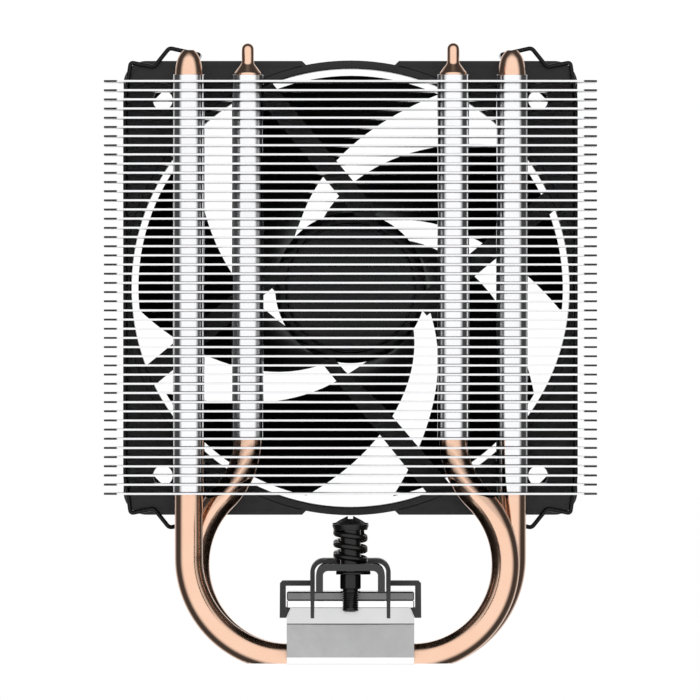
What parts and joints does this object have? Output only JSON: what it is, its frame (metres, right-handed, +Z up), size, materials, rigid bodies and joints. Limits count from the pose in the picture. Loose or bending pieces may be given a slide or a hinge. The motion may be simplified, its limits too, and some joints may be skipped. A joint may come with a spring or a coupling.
{
  "type": "cpu tower cooler",
  "caption": "Compact tower heatsink for a processor: copper U heat pipes through stacked thin fins, milled base with a spring-screw crossbar, and a wire-clipped axial fan.",
  "frame": {"origin": "centre of the milled contact face under the base", "axes": "+Z up the tower away from the processor, +X across the fins, +Y from the open face of the fins towards the fan"},
  "size_m": [0.1054, 0.0935, 0.1328],
  "materials": {
    "milled_aluminium": "milled, fine cutter marks",
    "polished_plate": "bright, polished edge",
    "dark_plate": "rolled dark steel, satin",
    "zinc_screw": "zinc plated",
    "copper": "bare drawn copper, clean and glossy",
    "fin_aluminium": "rolled aluminium sheet, bright",
    "black_steel": "black oxide, satin",
    "spring_wire": "black coated spring wire",
    "cover_plastic": "moulded, satin",
    "fan_plastic": "moulded, fine texture",
    "impeller_plastic": "moulded, satin",
    "motor_steel": "bright steel",
    "magnet": "bonded ferrite, matt",
    "bearing_brass": "sintered bronze",
    "winding_copper": "enamelled wire",
    "board": "green solder mask",
    "label": "blank printed film, matt"
  },
  "bodies": {
    "cooler": {"base_block": "milled_aluminium", "base_cap": "milled_aluminium", "seat_plate": "polished_plate", "foot_plate": "dark_plate", "base_screw_1": "zinc_screw", "base_screw_2": "zinc_screw", "base_screw_3": "zinc_screw", "base_screw_4": "zinc_screw", "heat_pipe_front": "copper", "heat_pipe_rear": "copper", "fin_stack": "fin_aluminium", "slotted_fins": "fin_aluminium", "mounting_bar": "black_steel", "bar_cover": "cover_plastic", "fan_frame": "fan_plastic", "bearing_sleeve": "bearing_brass", "thrust_pad": "impeller_plastic", "circuit_board": "board", "hub_label": "label", "stator_core": "motor_steel", "winding_1": "winding_copper", "winding_2": "winding_copper", "winding_3": "winding_copper", "winding_4": "winding_copper", "screw_spring_front": "black_steel", "screw_spring_rear": "black_steel"},
    "fan_rotor": {"impeller": "impeller_plastic", "rotor_yoke": "motor_steel", "magnet_ring": "magnet", "fan_shaft": "motor_steel", "shaft_retainer": "motor_steel"},
    "front_screw_press": {"retaining_ring_front": "black_steel"},
    "front_screw": {"spring_screw_front": "black_steel"},
    "rear_screw_press": {"retaining_ring_rear": "black_steel"},
    "rear_screw": {"spring_screw_rear": "black_steel"},
    "left_clip": {"fan_clip_left": "spring_wire"},
    "right_clip": {"fan_clip_right": "spring_wire"}
  },
  "joints": [
    {"name": "fan_spin", "type": "hinge", "parent": "cooler", "child": "fan_rotor", "pos_m": [0, 0.035, 0.08045], "axis": [0, 1, 0], "continuous": true},
    {"name": "front_screw_push", "type": "slide", "parent": "cooler", "child": "front_screw_press", "axis": [0, 0, -1], "range_m": [0, 0.0022], "stiffness_N_per_m": 2500, "springref_m": -0.002, "deforming": ["screw_spring_front"]},
    {"name": "front_screw_turn", "type": "hinge", "parent": "front_screw_press", "child": "front_screw", "pos_m": [0, -0.0375, 0.025], "axis": [0, 0, -1], "continuous": true},
    {"name": "rear_screw_push", "type": "slide", "parent": "cooler", "child": "rear_screw_press", "axis": [0, 0, -1], "range_m": [0, 0.0022], "stiffness_N_per_m": 2500, "springref_m": -0.002, "deforming": ["screw_spring_rear"]},
    {"name": "rear_screw_turn", "type": "hinge", "parent": "rear_screw_press", "child": "rear_screw", "pos_m": [0, 0.0375, 0.025], "axis": [0, 0, -1], "continuous": true},
    {"name": "left_clip_swing", "type": "hinge", "parent": "cooler", "child": "left_clip", "pos_m": [-0.0434, 0.0505, 0.08045], "axis": [0, 0, -1], "range_deg": [0, 14]},
    {"name": "right_clip_swing", "type": "hinge", "parent": "cooler", "child": "right_clip", "pos_m": [0.0434, 0.0505, 0.08045], "axis": [0, 0, 1], "range_deg": [0, 14]}
  ]
}
